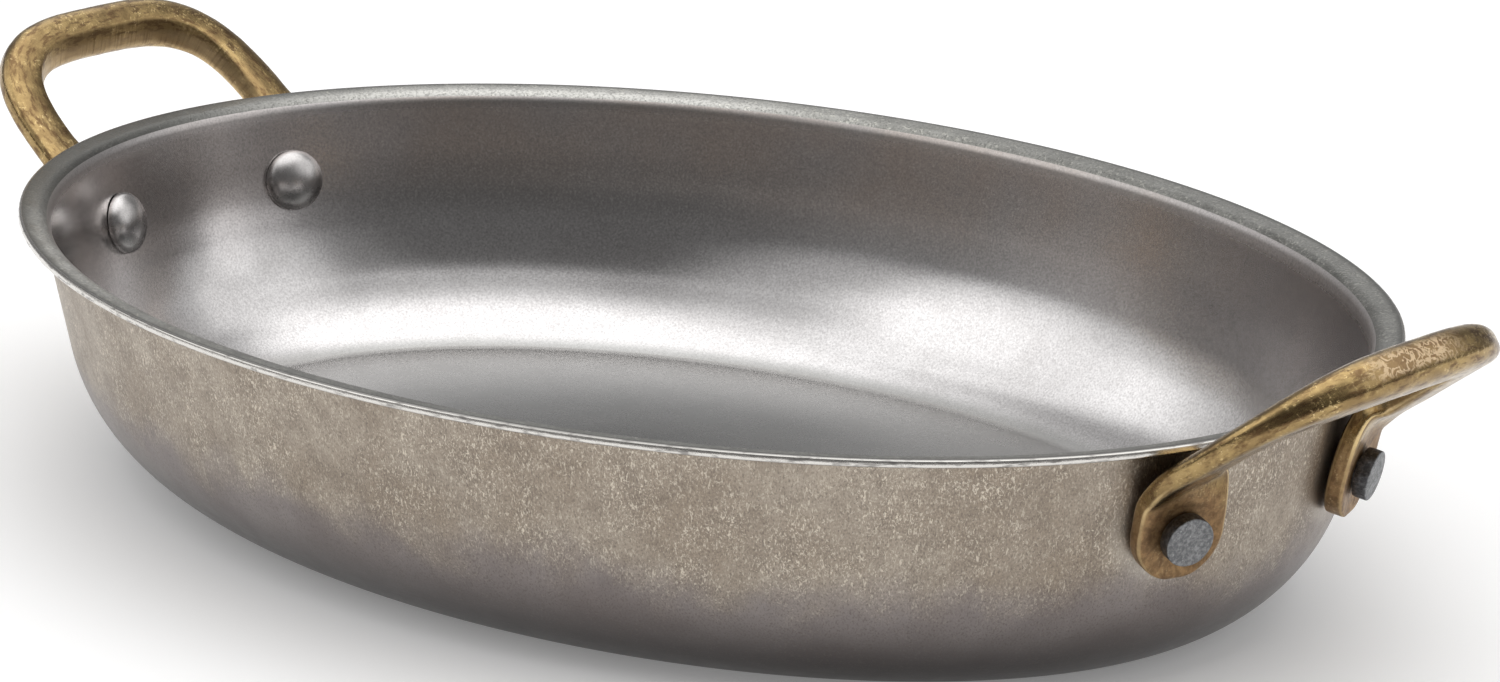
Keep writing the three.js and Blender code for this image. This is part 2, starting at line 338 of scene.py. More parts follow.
def rivet_seat(side_x, side_y):
    """Place of a rivet on the outside of the wall: point, normal, way up, radius in plan."""
    lean = math.tan(WALL_DRAFT)
    z = DISH_DEPTH - RIVET_DROP
    offset = WALL_START[0] + (WALL_START[1] - z) * lean - SHEET / 2 / math.cos(WALL_DRAFT)
    a, b = HALF_LENGTH - offset, HALF_WIDTH - offset
    y = side_y * RIVET_SPREAD / 2
    x = side_x * a * math.sqrt(1 - (y / b) ** 2)
    spread = x**2 / a**3 + y**2 / b**3
    normal = Vector((x / a**2, y / b**2, -lean * spread)).normalized()
    across = UP.cross(normal).normalized()
    curve = a**2 * b**2 * math.hypot(x / a**2, y / b**2) ** 3
    return Vector((x, y, z)), normal, normal.cross(across), curve


def rivet_piece(name, seat, materials):
    """A rivet. Its materials are those of the dome, and of the flat head's face and side."""
    point, normal, climb, curve = seat
    dome, shank, head = DOME_DIAMETER / 2, SHANK_DIAMETER / 2, HEAD_DIAMETER / 2
    hollow = dome**2 / (2 * curve)
    dome_base = -SHEET - SEAT_GAP - hollow
    head_base = SEAT_GAP + LUG_THICKNESS + SEAT_GAP
    head_top = head_base + HEAD_HEIGHT
    seated = SEAT_GAP * SEAT_SHARE
    profile = []
    for k in range(1, DOME_STEPS + 1):
        turn = math.pi / 2 * k / DOME_STEPS
        profile.append((dome * math.sin(turn), dome_base - DOME_HEIGHT * math.cos(turn)))
    dome_bands = len(profile) + 1
    profile += [(dome - DOME_EASE, dome_base + seated), (shank, dome_base + seated)]
    profile += [(shank, head_base - seated), (head - HEAD_EASE, head_base - seated)]
    profile += [(head, head_base + HEAD_EASE_RISE)]
    for k in range(ROUND_STEPS + 1):
        turn = math.pi / 2 * k / ROUND_STEPS
        profile.append((
            head - HEAD_ROUND + HEAD_ROUND * math.cos(turn),
            head_top - HEAD_ROUND + HEAD_ROUND * math.sin(turn),
        ))
    profile += [(head * share, head_top) for share in HEAD_SHARES]
    across = normal.cross(climb)
    rings = []
    for radius, height in profile:
        ring = []
        for k in range(RIVET_STEPS):
            turn = 2 * math.pi * k / RIVET_STEPS
            side = (across * math.cos(turn) + climb * math.sin(turn)) * radius
            spot = point + side + normal * height
            if height > head_base:
                spot -= normal * FACE_DENT * uneven(spot, FACE_DENT_PITCH)
                spot -= side.normalized() * SIDE_DENT * uneven(spot, SIDE_DENT_PITCH)
            ring.append(spot)
        rings.append(ring)
    points, faces = skin(rings)
    bands = [0] * dome_bands + [2] * SIDE_BANDS
    bands += [1] * (len(rings) - 1 - len(bands))
    bands += [0, 1]
    indices = [band for band in bands for _ in range(RIVET_STEPS)]
    piece = mesh_piece(name, points, faces, materials, indices)
    piece.data.set_sharp_from_angle(angle=SHARP_ANGLE)
    return piece


# Handles

def lug_rise(seat, away, middle):
    """How far the lug climbs above its rivet, so that the leg passes clear of the rim."""
    point, normal, climb, _ = seat

    def flat(vector):
        return Vector((vector.dot(away), vector.z))

    a = (away.x / HALF_LENGTH) ** 2 + (away.y / HALF_WIDTH) ** 2
    b = point.x * away.x / HALF_LENGTH**2 + point.y * away.y / HALF_WIDTH**2
    c = (point.x / HALF_LENGTH) ** 2 + (point.y / HALF_WIDTH) ** 2 - 1
    to_rim = (math.sqrt(b * b - a * c) - b) / a
    upper = Vector((-math.sin(LOOP_TILT), math.cos(LOOP_TILT)))
    from_centre = Vector((to_rim, RIVET_DROP - SHEET)) - flat(normal) * (middle + BEND_RADIUS)
    clear = BEND_RADIUS + LEG_THICKNESS / 2 + LIP_GAP
    return (from_centre.dot(upper) - clear) / flat(climb).dot(upper)


def loop_shares(u):
    """How far out and how far across the loop is, from its leg at 0 to its middle at 1."""
    turn = lerp(LOOP_START, math.pi / 2, u)
    out, across = math.sin(turn), math.cos(turn)
    size = (out**LOOP_SQUARENESS + across**LOOP_SQUARENESS) ** (-1 / LOOP_SQUARENESS)
    return out * size, across * size


def support(half_width, half_thickness, squareness, turn):
    """How far a rounded section reaches towards an angle."""
    q = squareness / (squareness - 1)
    reach = abs(half_width * math.cos(turn)) ** q + abs(half_thickness * math.sin(turn)) ** q
    return reach ** (1 / q)


def over_file(u, v, width, thickness, upper):
    """How far a point of the section stands beyond the filed face."""
    limit = FILED_SHARE * support(width / 2, thickness / 2, upper, FILED_ANGLE)
    return u * math.cos(FILED_ANGLE) + v * math.sin(FILED_ANGLE) - limit


def section_line(width, thickness, under, upper, filed):
    """Points round a section, evenly spaced, as offsets along its two axes."""
    fine = []
    for k in range(FINE_STEPS):
        turn = 2 * math.pi * k / FINE_STEPS
        c, s = math.cos(turn), math.sin(turn)
        power = 2 / (under if s > 0 else upper)
        u = width / 2 * math.copysign(abs(c) ** power, c)
        v = thickness / 2 * math.copysign(abs(s) ** power, s)
        over = over_file(u, v, width, thickness, upper)
        cut = filed * (over + math.hypot(over, FILED_SOFT)) / 2
        u -= cut * math.cos(FILED_ANGLE)
        v -= cut * math.sin(FILED_ANGLE)
        fine.append(Vector((u, v)))
    lengths = [0.0]
    for k in range(FINE_STEPS):
        lengths.append(lengths[-1] + (fine[(k + 1) % FINE_STEPS] - fine[k]).length)
    line, i = [], 0
    for k in range(SECTION_STEPS):
        wanted = lengths[-1] * k / SECTION_STEPS
        while lengths[i + 1] < wanted:
            i += 1
        share = (wanted - lengths[i]) / max(1e-9, lengths[i + 1] - lengths[i])
        line.append(fine[i].lerp(fine[(i + 1) % FINE_STEPS], share))
    return line


def section_ring(centre, along, outward, width, thickness, under, upper, filed, grip):
    """A ring round the bar: points, how far each is filed and pitted, and its offsets."""
    second = (outward - along * outward.dot(along)).normalized()
    first = second.cross(along)
    ring, filed_marks, pitted_marks, offsets = [], [], [], []
    for u, v in section_line(width, thickness, under, upper, filed):
        ring.append(centre + first * u + second * v)
        offsets.append((u, v))
        over = over_file(u, v, width, thickness, upper)
        filed_marks.append(filed * smoothstep(over, *FILED_FADE))
        strip = smoothstep(u / width, *PITTED_ACROSS)
        strip *= smoothstep(abs(v / thickness + PITTED_SHIFT), *PITTED_THROUGH)
        pitted_marks.append(grip * strip)
    return ring, filed_marks, pitted_marks, offsets


def half_handle():
    """Sections of the right handle, from the near lug to the middle of the grip."""
    seat = rivet_seat(RIGHT, NEAR)
    point, normal, climb, _ = seat
    middle = SEAT_GAP + LUG_THICKNESS / 2
    lug = point + normal * middle
    away = Vector((normal.x, normal.y, 0)).normalized()
    slope = Vector((math.cos(LOOP_TILT), 0, math.sin(LOOP_TILT)))
    under = Vector((math.sin(LOOP_TILT), 0, -math.cos(LOOP_TILT)))
    rise = lug_rise(seat, away, middle)
    bend_start = lug + climb * rise
    root = bend_start + normal * BEND_RADIUS - away * BEND_RADIUS * math.sin(LOOP_TILT)
    root += UP * BEND_RADIUS * math.cos(LOOP_TILT)
    root.y = NEAR * LOOP_SPAN / 2

    def loop_point(u):
        out, across = loop_shares(u)
        spot = root + slope * LOOP_DEPTH * out
        spot.y = root.y * across
        return spot

    controls = (bend_start, bend_start + climb * BEND_RADIUS / 2, root, loop_point(0))

    def bend_point(t):
        s = 1 - t
        weights = (s**3, 3 * s * s * t, 3 * s * t * t, t**3)
        return sum((w * p for w, p in zip(weights, controls)), Vector())

    samples = [bend_point(k / BEND_SAMPLES) for k in range(BEND_SAMPLES + 1)]
    lengths = [0.0]
    for a, b in zip(samples, samples[1:]):
        lengths.append(lengths[-1] + (b - a).length)
    total = lengths[-1]

    def width_at(height):
        share = smoothstep(height / (rise + total), *SHOULDER_FADE)
        return lerp(2 * LUG_RADIUS, LEG_WIDTH, share)

    def plate_row(centre, width, thickness):
        return {
            "centre": centre, "along": climb, "outward": normal,
            "width": width, "thickness": thickness,
            "under": FACE_SQUARENESS, "upper": PLATE_SQUARENESS, "filed": 0.0, "grip": 0.0,
        }

    rows = []
    for k in range(1, LUG_ROWS + 1):
        turn = LUG_TIP + LUG_SWEEP * k / LUG_ROWS
        inset = LUG_RADIUS * (1 - math.cos(turn))
        short = max(0.0, LUG_EDGE - inset)
        eased = 2 * (LUG_EDGE - math.sqrt(LUG_EDGE**2 - short**2)) * LUG_EDGE_SHARE
        centre = lug - climb * LUG_RADIUS * math.cos(turn)
        rows.append(plate_row(centre, 2 * LUG_RADIUS * math.sin(turn), LUG_THICKNESS - eased))
    for k in range(1, SHOULDER_ROWS):
        height = rise * k / SHOULDER_ROWS
        rows.append(plate_row(lug + climb * height, width_at(height), LUG_THICKNESS))
    for k in range(BEND_ROWS):
        wanted = total * k / BEND_ROWS
        i = next(i for i in range(BEND_SAMPLES) if lengths[i + 1] >= wanted)
        t = (i + (wanted - lengths[i]) / (lengths[i + 1] - lengths[i])) / BEND_SAMPLES
        u = k / BEND_ROWS
        along = (bend_point(t + NUDGE) - bend_point(max(0.0, t - NUDGE))).normalized()
        rows.append({
            "centre": bend_point(t), "along": along, "outward": normal.lerp(under, u),
            "width": width_at(rise + wanted),
            "thickness": lerp(LUG_THICKNESS, LEG_THICKNESS, u),
            "under": lerp(FACE_SQUARENESS, LEG_SQUARENESS, smoothstep(u, *BEND_SQUARE_FADE)),
            "upper": lerp(PLATE_SQUARENESS, BAR_SQUARENESS, u),
            "filed": smoothstep(u, *BEND_FILED_FADE) * FILED_AT_LEG,
            "grip": 0.0,
        })
    first_out = loop_shares(0)[0]
    for k in range(LOOP_ROWS + 1):
        u = k / LOOP_ROWS
        along = Vector((0, -NEAR, 0))
        if k < LOOP_ROWS:
            along = (loop_point(u + NUDGE) - loop_point(u - NUDGE)).normalized()
        share = (loop_shares(u)[0] - first_out) / (1 - first_out)
        rows.append({
            "centre": loop_point(u), "along": along, "outward": under,
            "width": lerp(LEG_WIDTH, GRIP_WIDTH, share),
            "thickness": lerp(LEG_THICKNESS, GRIP_THICKNESS, share**GRIP_SWELL),
            "under": lerp(LEG_SQUARENESS, BAR_SQUARENESS, smoothstep(u, *LOOP_SQUARE_FADE)),
            "upper": BAR_SQUARENESS,
            "filed": lerp(FILED_AT_LEG, 1.0, smoothstep(u, *LOOP_FILED_FADE)),
            "grip": smoothstep(u, *LOOP_PITTED_FADE),
        })
    return rows


def ease_rows(rings):
    """Rounds the bend between lug and leg, along the rows of the skin."""
    grid = np.array(rings)
    low, high = LUG_ROWS, LUG_ROWS + EASE_ROWS
    weight = np.array([
        smoothstep(i, low, low + EASE_START) * smoothstep(i, high, high - EASE_END)
        for i in range(len(grid))
    ])
    for _ in range(EASE_PASSES):
        mean = (grid[:-2] + grid[2:]) / 2
        grid[1:-1] += weight[1:-1, None, None] * 0.5 * (mean - grid[1:-1])
    return [[Vector(p) for p in ring] for ring in grid]


def hollow_lug(rings):
    """Presses a shallow hollow into the face of the near right lug, round its rivet."""
    point, normal, _, _ = rivet_seat(RIGHT, NEAR)
    skin_heights = [SEAT_GAP + LUG_THICKNESS - depth for depth in LUG_DISH_SKIN]
    for ring in rings:
        for j, p in enumerate(ring):
            rise = (p - point).dot(normal)
            away = (p - point - normal * rise).length
            dish = LUG_DISH * smoothstep(away, *LUG_DISH_EDGE) * smoothstep(rise, *skin_heights)
            ring[j] = p - normal * dish


def edge_wear(points):
    """How sharply the skin turns outwards at each point of a grid of rings, from 0 to 1."""
    grid = np.array(points)
    around = (np.roll(grid, 1, 1) + np.roll(grid, -1, 1)) / 2
    side = np.roll(grid, -1, 1) - np.roll(grid, 1, 1)
    ends = np.concatenate([grid[:1], grid, grid[-1:]])
    onward = ends[2:] - ends[:-2]
    normal = np.cross(side, onward)
    normal /= np.linalg.norm(normal, axis=2, keepdims=True) + 1e-9
    step = np.linalg.norm(side, axis=2) / 2
    bulge = np.sum((grid - around) * normal, axis=2) * 2 / (step**2 + 1e-9)
    bulge = (np.roll(bulge, 1, 1) + 2 * bulge + np.roll(bulge, -1, 1)) / 4
    return np.clip((bulge - WEAR_START) / WEAR_SPAN, 0, 1)


def add_layer(piece, label, kind, field, values):
    layer = piece.data.attributes.new(label, kind, "POINT")
    layer.data.foreach_set(field, values)


def handle_piece(name, side_x, material):
    """A handle, with layers for its finish.

    The layer "bar" holds the run along the bar and the offsets across and through its section.
    The last two values of each layer are for the middles of the two end fans.
    """
    rings, filed, pitted, offsets = [], [], [], []
    for row in half_handle():
        ring, filed_marks, pitted_marks, spots = section_ring(**row)
        rings.append(ring)
        filed.append(filed_marks)
        pitted.append(pitted_marks)
        offsets.append(spots)
    rings = ease_rows(rings)
    hollow_lug(rings[:DISHED_ROWS])
    rings += [[Vector((p.x, -p.y, p.z)) for p in ring] for ring in rings[-2::-1]]
    filed += filed[-2::-1]
    offsets += offsets[-2::-1]
    pitted += [
        [mark * smoothstep(k, *PITTED_FADE) for mark in marks]
        for k, marks in enumerate(pitted[-2::-1])
    ]
    centres = [sum(ring, Vector()) / len(ring) for ring in rings]
    run = [0.0]
    for a, b in zip(centres, centres[1:]):
        run.append(run[-1] + (b - a).length)
    for centre, ring in zip(centres, rings):
        for j, p in enumerate(ring):
            dent = sum(depth * uneven(p, pitch) for depth, pitch in DENTS)
            ring[j] = p + (centre - p).normalized() * dent
    worn = edge_wear(rings)
    if side_x == LEFT:
        rings = [[Vector((-p.x, -p.y, p.z)) for p in ring] for ring in rings]
    points, faces = skin(rings)
    piece = mesh_piece(name, points, faces, [material])
    for label, rows in (("filed", filed), ("pitted", pitted), ("worn", worn)):
        values = [mark for row in rows for mark in row] + [0.0, 0.0]
        add_layer(piece, label, "FLOAT", "value", values)
    bar = [(r, u, v) for r, spots in zip(run, offsets) for u, v in spots]
    bar += [(run[0], 0.0, 0.0), (run[-1], 0.0, 0.0)]
    add_layer(piece, "bar", "FLOAT_VECTOR", "vector", [c for spot in bar for c in spot])
    return piece


# Materials

THROUGH = 2  # third number of the layer "bar"
FLAT = 1e6  # divides heights away

# Outside of the bowl
OUTSIDE_DARK = (0.315, 0.262, 0.208)
OUTSIDE_LIGHT = (0.41, 0.358, 0.298)
OUTSIDE_PATCH = (0.25, 0.21, 0.172)
# Below the ragged line a smoother sheet, darker as painted shade; the foot darker still as painted
# shade.
LOW_SMOOTH_PAINTED_SHADE_DARK = (0.235, 0.208, 0.205)
LOW_SMOOTH_PAINTED_SHADE_LIGHT = (0.305, 0.277, 0.274)
FOOT_PAINTED_SHADE = (0.075, 0.068, 0.067)
FLECK = (0.76, 0.69, 0.58)
OUTSIDE_PORE = (0.15, 0.125, 0.107)
OUTSIDE_GLINT = (0.58, 0.52, 0.44)
LUG_HALO = (0.60, 0.56, 0.50)

# Inside of the bowl
INSIDE_DARK = (0.592, 0.577, 0.574)
INSIDE_LIGHT = (0.652, 0.64, 0.638)
INSIDE_BROWN = (0.63, 0.54, 0.478)
INSIDE_PALE = (0.79, 0.75, 0.75)
INSIDE_PAINTED_DARK_REFLECTION = (0.26, 0.262, 0.26)
INSIDE_PATCH = (0.49, 0.475, 0.465)
INSIDE_PORE = (0.34, 0.326, 0.326)
INSIDE_GLINT = (0.85, 0.83, 0.82)
FLOOR_GREY = (0.29, 0.297, 0.288)
FLOOR_MIDDLE_PAINTED_REFLECTION = (0.125, 0.131, 0.131)
UNDER_LIP_PAINTED_SHADE = (0.22, 0.212, 0.208)

# Lip and edge of the rim
LIP_DARK = (0.30, 0.297, 0.277)
LIP_LIGHT = (0.405, 0.402, 0.38)
LIP_PIT = (0.66, 0.65, 0.59)
LIP_PAINTED_HIGHLIGHT = (0.68, 0.67, 0.64)
LIP_MARGIN = (0.07, 0.07, 0.067)
LIP_PAINTED_SHADE = (0.12, 0.12, 0.112)
LIP_PORE = (0.10, 0.10, 0.095)
EDGE_NICK = (0.34, 0.325, 0.31)
EDGE_BRIGHT = (0.72, 0.70, 0.665)
EDGE_TOP_PAINTED_SHADE = (0.16, 0.155, 0.148)

# Rivets: the heads' colours are dark, light and speck; the side's are a darker copy of the face's,
# as painted shade
DOME_DARK = (0.50, 0.484, 0.476)
DOME_LIGHT = (0.57, 0.554, 0.546)
DOME_PORE = (0.34, 0.33, 0.325)
HEAD_FACE = ((0.15, 0.153, 0.158), (0.29, 0.293, 0.298), (0.48, 0.485, 0.49))
HEAD_SIDE_PAINTED_SHADE = ((0.07, 0.07, 0.075), (0.15, 0.15, 0.155), (0.27, 0.27, 0.275))

# Handles
BRASS_DARK = (0.272, 0.185, 0.085)
BRASS_LIGHT = (0.412, 0.294, 0.132)
BRASS_PATINA = (0.128, 0.073, 0.036)
BRASS_BRIGHT = (0.80, 0.61, 0.32)
BRASS_PITTED = (0.47, 0.31, 0.172)
BRASS_COIL_PAINTED_HIGHLIGHT = (0.94, 0.73, 0.48)
BRASS_FILED_PAINTED_LIGHT = (0.53, 0.392, 0.228)
BRASS_STROKE = (0.14, 0.09, 0.045)
EARTHY_DARK = (0.165, 0.09, 0.041)
EARTHY_LIGHT = (0.335, 0.2, 0.092)


class Finish:
    """A procedural material whose textures are laid out in millimetres."""

    def __init__(self, name):
        self.material = bpy.data.materials.new(name)
        self.material.use_nodes = True
        self.tree = self.material.node_tree
        self.shader = self.tree.nodes["Principled BSDF"]
        self.shader.inputs["Metallic"].default_value = 1.0
        coords = self.tree.nodes.new("ShaderNodeTexCoord")
        self.place = self.vector("SCALE", coords.outputs["Object"], scale=1 / MM)

    def node(self, kind, **settings):
        made = self.tree.nodes.new(kind)
        for key, value in settings.items():
            setattr(made, key, value)
        return made

    def plug(self, value, socket):
        if isinstance(value, bpy.types.NodeSocket):
            self.tree.links.new(value, socket)
        else:
            socket.default_value = value

    def vector(self, operation, a, b=None, scale=None):
        made = self.node("ShaderNodeVectorMath", operation=operation)
        self.plug(a, made.inputs[0])
        if b is not None:
            self.plug(b, made.inputs[1])
        if scale is not None:
            self.plug(scale, made.inputs["Scale"])
        return made.outputs["Vector"]

    def math(self, operation, a, b=0.0):
        made = self.node("ShaderNodeMath", operation=operation)
        self.plug(a, made.inputs[0])
        self.plug(b, made.inputs[1])
        return made.outputs[0]

    def plus(self, total, *others):
        for other in others:
            total = self.math("ADD", total, other)
        return total

    def minus(self, a, b):
        return self.math("SUBTRACT", a, b)

    def times(self, a, b):
        return self.math("MULTIPLY", a, b)

    def most(self, a, b):
        return self.math("MAXIMUM", a, b)

    def noise(self, size, detail=3.0, roughness=0.55, distortion=0.0, place=None):
        """Noise whose features are about size millimetres across, or size x, y, z."""
        at = place or self.place
        scale = 1.0
        if isinstance(size, tuple):
            at = self.vector("DIVIDE", at, size)
        else:
            scale = 1.0 / size
        made = self.node("ShaderNodeTexNoise")
        self.plug(at, made.inputs["Vector"])
        made.inputs["Scale"].default_value = scale
        made.inputs["Detail"].default_value = detail
        made.inputs["Roughness"].default_value = roughness
        made.inputs["Distortion"].default_value = distortion
        return made.outputs[0]

    def spread(self, value, low, high, start=0.0, end=1.0, smooth=True):
        """The value taken from low and high to start and end."""
        made = self.node("ShaderNodeMapRange")
        made.interpolation_type = "SMOOTHSTEP" if smooth else "LINEAR"
        self.plug(value, made.inputs["Value"])
        labels = ("From Min", "From Max", "To Min", "To Max")
        for label, number in zip(labels, (low, high, start, end)):
            self.plug(number, made.inputs[label])
        return made.outputs["Result"]

    def mix(self, share, a, b):
        made = self.node("ShaderNodeMix", data_type="RGBA")
        self.plug(share, made.inputs[0])
        self.plug(a if isinstance(a, bpy.types.NodeSocket) else (*a, 1.0), made.inputs[6])
        self.plug(b if isinstance(b, bpy.types.NodeSocket) else (*b, 1.0), made.inputs[7])
        return made.outputs[2]

    def axis(self, index, place=None):
        made = self.node("ShaderNodeSeparateXYZ")
        self.plug(place or self.place, made.inputs[0])
        return made.outputs[index]

    def lug_distance(self):
        """Distance to the nearest rivet's place on the wall; the four mirror each other."""
        made = self.node("ShaderNodeVectorMath", operation="DISTANCE")
        self.plug(self.vector("ABSOLUTE", self.place), made.inputs[0])
        made.inputs[1].default_value = rivet_seat(RIGHT, FAR)[0]
        return made.outputs["Value"]

    def oval_radius(self, inset):
        """Distance from the middle of the dish: 1 on the oval inset millimetres inside the rim."""
        sizes = (HALF_LENGTH - inset, HALF_WIDTH - inset, FLAT)
        made = self.node("ShaderNodeVectorMath", operation="LENGTH")
        self.plug(self.vector("DIVIDE", self.place, sizes), made.inputs[0])
        return made.outputs["Value"]

    def layer(self, name, output="Fac"):
        return self.node("ShaderNodeAttribute", attribute_name=name).outputs[output]

    def bump(self, value, depth, normal=None):
        """Bump of a height that runs from 0 to 1 and is depth millimetres deep."""
        made = self.node("ShaderNodeBump")
        made.inputs["Strength"].default_value = 1.0
        made.inputs["Distance"].default_value = depth * MM
        self.plug(value, made.inputs["Height"])
        if normal is not None:
            self.plug(normal, made.inputs["Normal"])
        return made.outputs["Normal"]

    def finish(self, color, rough, normal):
        self.plug(color, self.shader.inputs["Base Color"])
        self.plug(rough, self.shader.inputs["Roughness"])
        self.plug(normal, self.shader.inputs["Normal"])
        return self.material


def outside_steel():
    """Warm flecked sheet above a ragged line; below it smoother and darker, the darkness painted
    shade, darkest at the foot.
    """
    f = Finish("steel_outside")
    height = f.axis(Z)
    ragged = f.plus(height, f.spread(f.noise(11.0, 3.0), 0.3, 0.7, -3.0, 3.0, smooth=False))
    clouds = f.noise(15.0, 3.0)
    patches = f.noise(3.2, 4.0, 0.6)
    color = f.mix(f.spread(clouds, 0.32, 0.68), OUTSIDE_DARK, OUTSIDE_LIGHT)
    color = f.mix(f.spread(patches, 0.38, 0.7, 0.0, 0.6), color, OUTSIDE_PATCH)
    # smoother and darker below the ragged line; the darkening is painted shade
    smooth = f.mix(f.spread(clouds, 0.3, 0.7), LOW_SMOOTH_PAINTED_SHADE_DARK, LOW_SMOOTH_PAINTED_SHADE_LIGHT)
    color = f.mix(f.spread(ragged, 20.0, 11.0, 0.0, 0.9), color, smooth)
    # painted shade towards the foot
    color = f.mix(f.spread(height, 13.0, 3.0, 0.0, 0.85), color, FOOT_PAINTED_SHADE)
    upright = f.spread(f.noise((0.28, 0.28, 0.78), 2.0, 0.55, 0.9), 0.55, 0.68)
    curled = f.spread(f.noise(0.58, 2.0, 0.5, 2.2), 0.60, 0.71)
    zone = f.spread(f.noise(8.0, 2.0), 0.34, 0.60, 0.4, 1.0)
    zone = f.times(zone, f.spread(ragged, 11.0, 19.0, 0.06, 1.0))
    flecks = f.times(f.most(upright, curled), zone)
    color = f.mix(f.times(flecks, 0.85), color, FLECK)
    grain = f.noise((0.22, 0.22, 0.36), 2.0)
    color = f.mix(f.spread(grain, 0.48, 0.75, 0.0, 0.6), color, OUTSIDE_PORE)
    glints = f.times(f.spread(grain, 0.48, 0.28, 0.0, 0.45), zone)
    color = f.mix(glints, color, OUTSIDE_GLINT)
    color = f.mix(f.spread(f.lug_distance(), 8.6, 6.2, 0.0, 0.35), color, LUG_HALO)
    lines = f.noise((9.0, 9.0, 0.16), 2.0)
    rough = f.plus(
        f.times(patches, 0.12),
        f.times(lines, 0.08),
        f.spread(height, 3.0, 18.0, 0.22, 0.33),
    )
    normal = f.bump(f.noise(11.0, 2.0), 0.10)
    normal = f.bump(f.minus(flecks, f.times(grain, 0.8)), 0.010, normal)
    normal = f.bump(lines, 0.004, normal)
    return f.finish(color, rough, normal)


def inside_steel():
    """Satin steel, browner high on the wall, paler at both ends; painted dark reflections in mid
    floor and across the far wall, painted shade under the lip.
    """
    f = Finish("steel_inside")
    along, across, height = f.axis(X), f.axis(Y), f.axis(Z)
    clouds = f.noise(18.0, 3.0)
    color = f.mix(f.spread(clouds, 0.3, 0.7), INSIDE_DARK, INSIDE_LIGHT)
    brown = f.spread(f.noise(26.0, 2.0), 0.3, 0.6, 0.2, 0.8)
    brown = f.times(f.spread(height, 16.0, 26.0), brown)
    color = f.mix(brown, color, INSIDE_BROWN)
    right = f.spread(along, 18.0, 52.0, 0.0, 0.75)
    left = f.spread(along, -80.0, -92.0, 0.0, 0.6)
    paler = f.times(f.most(right, left), f.spread(height, 12.0, 20.0))
    color = f.mix(paler, color, INSIDE_PALE)
    # A dark band painted across the far wall: a painted dark reflection.
    painted_dark_reflection = f.spread(f.math("ABSOLUTE", f.minus(height, 21.5)), 6.0, 1.5, 0.0, 0.4)
    painted_dark_reflection = f.times(painted_dark_reflection, f.spread(across, 10.0, 34.0))
    painted_dark_reflection = f.times(painted_dark_reflection, f.spread(along, -28.0, -56.0))
    color = f.mix(painted_dark_reflection, color, INSIDE_PAINTED_DARK_REFLECTION)
    patches = f.noise(4.0, 4.0, 0.6)
    color = f.mix(f.spread(patches, 0.4, 0.75, 0.0, 0.3), color, INSIDE_PATCH)
    grain = f.noise(0.3, 3.0, 0.6)
    color = f.mix(f.spread(grain, 0.42, 0.74, 0.0, 0.55), color, INSIDE_PORE)
    color = f.mix(f.spread(grain, 0.5, 0.26, 0.0, 0.43), color, INSIDE_GLINT)
    floor = f.spread(height, 2.6, 1.3)
    color = f.mix(f.times(floor, 0.65), color, FLOOR_GREY)
    # darker still in the middle of the floor: a painted dark reflection
    middle = f.times(floor, f.spread(f.oval_radius(FLOOR_INSET), 1.0, 0.6, 0.0, 0.92))
    color = f.mix(middle, color, FLOOR_MIDDLE_PAINTED_REFLECTION)
    # painted shade just under the lip
    color = f.mix(f.spread(height, 31.0, 32.6, 0.0, 0.4), color, UNDER_LIP_PAINTED_SHADE)
    upright = f.noise((0.3, 0.3, 6.0), 2.0)
    rough = f.plus(
        f.times(patches, 0.06),
        f.times(upright, 0.05),
        f.spread(height, 2.6, 1.3, 0.13, 0.22),
        f.spread(height, 30.5, 33.0, 0.0, 0.18),
        f.spread(along, 5.0, 50.0, 0.0, 0.06),
    )
    normal = f.bump(f.noise(14.0, 2.0), 0.05)
    normal = f.bump(grain, 0.005, normal)
    normal = f.bump(upright, 0.002, normal)
    return f.finish(color, rough, normal)


def lip_steel():
    """Pitted steel with a dark margin, a painted highlight on the far left, and painted shade over
    the left half, most at the far left.
    """
    f = Finish("steel_lip")
    along, across, rim = f.axis(X), f.axis(Y), f.oval_radius(0.0)
    grain = f.noise(0.34, 3.0, 0.6)
    clouds = f.noise(5.0, 3.0)
    color = f.mix(f.spread(clouds, 0.3, 0.7), LIP_DARK, LIP_LIGHT)
    pits = f.spread(f.noise(0.7, 2.0, 0.5, 1.2), 0.53, 0.68)
    color = f.mix(f.times(pits, 0.7), color, LIP_PIT)
    # painted highlight along the inner part of the lip on the far left
    rubbed_and_painted_highlight = f.times(f.spread(rim, 0.985, 0.976, 0.0, 0.45), f.spread(along, -28.0, -56.0))
    color = f.mix(rubbed_and_painted_highlight, color, LIP_PAINTED_HIGHLIGHT)
    color = f.mix(f.spread(rim, 0.983, 0.995, 0.0, 0.85), color, LIP_MARGIN)
    # painted shade over the left half, strongest at the far left
    left = f.times(f.spread(along, -58.0, -88.0, 0.0, 0.9), f.spread(across, 40.0, -5.0))
    painted_shade = f.most(left, f.spread(along, -45.0, 5.0, 0.0, 0.44))
    color = f.mix(painted_shade, color, LIP_PAINTED_SHADE)
    color = f.mix(f.spread(grain, 0.42, 0.72, 0.0, 0.6), color, LIP_PORE)
    rough = f.spread(clouds, 0.3, 0.7, 0.33, 0.43)
    normal = f.bump(grain, 0.04)
    normal = f.bump(pits, 0.03, normal)
    return f.finish(color, rough, normal)


